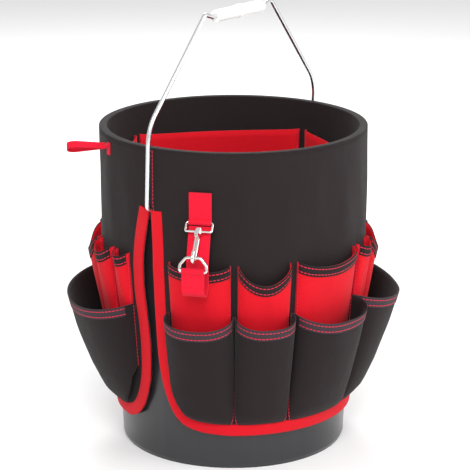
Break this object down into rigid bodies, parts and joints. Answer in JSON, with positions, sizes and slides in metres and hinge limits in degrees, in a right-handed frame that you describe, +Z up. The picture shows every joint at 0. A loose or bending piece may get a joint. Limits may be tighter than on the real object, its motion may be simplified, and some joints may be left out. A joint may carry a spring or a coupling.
{
  "type": "tool bucket organizer",
  "caption": "Round plastic bucket with a wire bail and a black fabric tool organizer over its rim, with red and black pockets and a red strap with a snap hook for tape rolls",
  "frame": {"origin": "centre of the bucket's foot, on its axis, at floor height", "axes": "+Z is up along the bucket's axis; the bail's ears are on X; the front panel with the tape strap faces -Y"},
  "size_m": [0.3618, 0.3754, 0.5129],
  "materials": {
    "bucket_plastic": "smooth black moulded plastic with a soft sheen",
    "zinc_wire": "bright zinc-plated wire",
    "white_plastic": "smooth white moulded plastic",
    "black_lining": "black woven polyester lining",
    "black_fabric": "black heavy woven polyester",
    "red_fabric": "red heavy woven polyester",
    "red_binding": "red grosgrain binding tape",
    "plum_tape": "dark grey-plum hem tape with two rows of red stitching",
    "black_tape": "black hem tape with two rows of red stitching",
    "red_webbing": "red woven webbing",
    "nickel_steel": "nickel-plated steel"
  },
  "bodies": {
    "root": {"bucket_shell": "bucket_plastic", "inner_lining": "black_lining", "tape_anchor_tab": "red_webbing", "tool_loop": "red_webbing", "inner_pocket_1": "red_fabric", "inner_pocket_2": "red_fabric", "inner_pocket_3": "red_fabric", "inner_pocket_4": "red_fabric", "front_panel": "black_fabric", "front_binding": "red_binding", "front_lower_pocket_1": "black_fabric", "front_lower_pocket_2": "black_fabric", "front_lower_pocket_3": "black_fabric", "front_lower_pocket_4": "black_fabric", "front_lower_hem": "plum_tape", "front_upper_pocket_1": "red_fabric", "front_upper_pocket_2": "red_fabric", "front_upper_pocket_3": "red_fabric", "front_upper_pocket_4": "red_fabric", "front_upper_pocket_5": "red_fabric", "front_upper_pocket_6": "red_fabric", "front_upper_pocket_7": "red_fabric", "front_upper_hem": "black_tape", "rear_panel": "black_fabric", "rear_binding": "red_binding", "rear_lower_pocket_1": "black_fabric", "rear_lower_pocket_2": "black_fabric", "rear_lower_pocket_3": "black_fabric", "rear_lower_pocket_4": "black_fabric", "rear_lower_hem": "plum_tape", "rear_upper_pocket_1": "red_fabric", "rear_upper_pocket_2": "red_fabric", "rear_upper_pocket_3": "red_fabric", "rear_upper_pocket_4": "red_fabric", "rear_upper_pocket_5": "red_fabric", "rear_upper_pocket_6": "red_fabric", "rear_upper_pocket_7": "red_fabric", "rear_upper_hem": "black_tape"},
    "bail": {"bail_wire": "zinc_wire"},
    "grip": {"bail_grip": "white_plastic"},
    "strap": {"tape_strap": "red_webbing"},
    "eye": {"swivel_eye": "nickel_steel"},
    "hook": {"snap_hook": "nickel_steel", "gate_pin": "nickel_steel"},
    "gate": {"snap_gate": "nickel_steel"},
    "ring": {"d_ring": "nickel_steel"}
  },
  "joints": [
    {"name": "bail_swing", "type": "hinge", "parent": "root", "child": "bail", "pos_m": [0, 0, 0.304], "axis": [1, 0, 0], "range_deg": [-92, 88], "deforming": ["tool_loop"]},
    {"name": "grip_spin", "type": "hinge", "parent": "bail", "child": "grip", "pos_m": [0, -0.00702, 0.50488], "axis": [1, 0, 0], "continuous": true},
    {"name": "strap_swing", "type": "hinge", "parent": "root", "child": "strap", "pos_m": [-0.1457, -0.06125, 0.298], "axis": [-0.3875, 0.9219, 0], "range_deg": [0, 25]},
    {"name": "eye_swing", "type": "hinge", "parent": "root", "child": "eye", "pos_m": [-0.1457, -0.06125, 0.298], "axis": [-0.3875, 0.9219, 0], "range_deg": [0, 25]},
    {"name": "hook_swivel", "type": "hinge", "parent": "eye", "child": "hook", "pos_m": [-0.1457, -0.06125, 0.298], "axis": [-0.6168, -0.2593, -0.7431], "range_deg": [-20, 20]},
    {"name": "gate_open", "type": "hinge", "parent": "hook", "child": "gate", "pos_m": [-0.16079, -0.06759, 0.2876], "axis": [0.3875, -0.9219, 0], "range_deg": [0, 20], "stiffness_Nm_per_rad": 0.02, "springref_deg": -17.19},
    {"name": "ring_swing", "type": "hinge", "parent": "strap", "child": "ring", "pos_m": [-0.17557, -0.0738, 0.25149], "axis": [0.3875, -0.9219, 0], "range_deg": [-4, 4]}
  ],
  "couplings": [
    {"joint": "eye_swing", "follows": "strap_swing", "ratio": 1}
  ]
}
